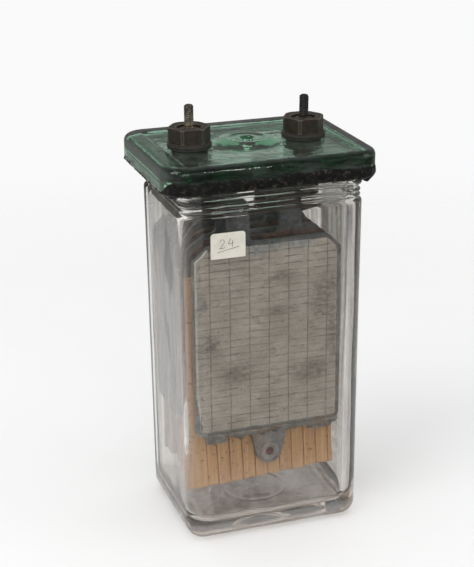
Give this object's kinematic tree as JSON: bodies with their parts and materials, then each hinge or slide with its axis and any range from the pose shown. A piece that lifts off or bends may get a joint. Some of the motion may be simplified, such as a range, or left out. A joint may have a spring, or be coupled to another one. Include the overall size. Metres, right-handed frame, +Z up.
{
  "type": "glass-jar storage cell",
  "caption": "Clear glass jar with hung lead plates and grooved wood boards, a sealed green glass cover and two threaded posts with hexagonal nuts and studs.",
  "frame": {"origin": "below the cover's middle, which is the middle of the whole object's box in X and Y, at the height of the jar's underside", "axes": "+Z up from the jar's base to the stud tips; -Y is the broad front with the paper label; the negative terminal is at -X and the positive one at +X"},
  "size_m": [0.146, 0.116, 0.295],
  "materials": {
    "jar_glass": "clear moulded glass, slightly grey, glossy",
    "cover_glass": "thick green glass, glossy with worn dusty top",
    "compound": "black asphalt sealing compound, dusty and chipped",
    "grey_lead": null,
    "brown_lead": null,
    "grey_paste": null,
    "brown_paste": null,
    "cedar": "thin grooved cedar boards, dry and raw",
    "nut_iron": "dark oxidised metal with worn edges and rust",
    "washer_ebonite": "black hard rubber, matte",
    "gasket_rubber": "soft black rubber, matte",
    "brass_stud": "tarnished brass",
    "dark_stud": "dark grey oxidised metal",
    "label_paper": null
  },
  "bodies": {
    "jar_body": {"jar": "jar_glass", "paper_label": "label_paper"},
    "cell_top": {"cover": "cover_glass", "sealing_compound": "compound", "negative_post": "grey_lead", "positive_post": "brown_lead", "negative_stud": "brass_stud", "positive_stud": "dark_stud", "negative_gasket": "gasket_rubber", "positive_gasket": "gasket_rubber", "negative_strap": "grey_lead", "positive_strap": "brown_lead", "negative_grid_1": "grey_lead", "negative_grid_2": "grey_lead", "negative_grid_3": "grey_lead", "negative_grid_4": "grey_lead", "positive_grid_1": "brown_lead", "positive_grid_2": "brown_lead", "positive_grid_3": "brown_lead", "negative_paste_1": "grey_paste", "negative_paste_2": "grey_paste", "negative_paste_3": "grey_paste", "negative_paste_4": "grey_paste", "positive_paste_1": "brown_paste", "positive_paste_2": "brown_paste", "positive_paste_3": "brown_paste", "separator_1": "cedar", "separator_2": "cedar", "separator_3": "cedar", "separator_4": "cedar", "separator_5": "cedar", "separator_6": "cedar", "tie_pin": "brown_lead", "tie_washers": "grey_lead"},
    "negative_washer_body": {"negative_washer": "washer_ebonite"},
    "negative_nut_body": {"negative_nut": "nut_iron"},
    "positive_washer_body": {"positive_washer": "washer_ebonite"},
    "positive_nut_body": {"positive_nut": "nut_iron"}
  },
  "joints": [
    {"name": "cover_lift", "type": "slide", "parent": "jar_body", "child": "cell_top", "axis": [0, 0, 1], "range_m": [0, 0.23]},
    {"name": "negative_washer_rise", "type": "slide", "parent": "cell_top", "child": "negative_washer_body", "axis": [0, 0, 1], "range_m": [0, 0.0083]},
    {"name": "negative_nut_turn", "type": "hinge", "parent": "negative_washer_body", "child": "negative_nut_body", "pos_m": [-0.04, 0, 0.275], "axis": [0, 0, 1], "range_deg": [0, 1260]},
    {"name": "positive_washer_rise", "type": "slide", "parent": "cell_top", "child": "positive_washer_body", "axis": [0, 0, 1], "range_m": [0, 0.0083]},
    {"name": "positive_nut_turn", "type": "hinge", "parent": "positive_washer_body", "child": "positive_nut_body", "pos_m": [0.04, 0, 0.275], "axis": [0, 0, 1], "range_deg": [0, 1260]}
  ],
  "couplings": [
    {"joint": "negative_washer_rise", "follows": "negative_nut_turn", "m_per_rad": 0.00036749},
    {"joint": "positive_washer_rise", "follows": "positive_nut_turn", "m_per_rad": 0.00036749}
  ]
}
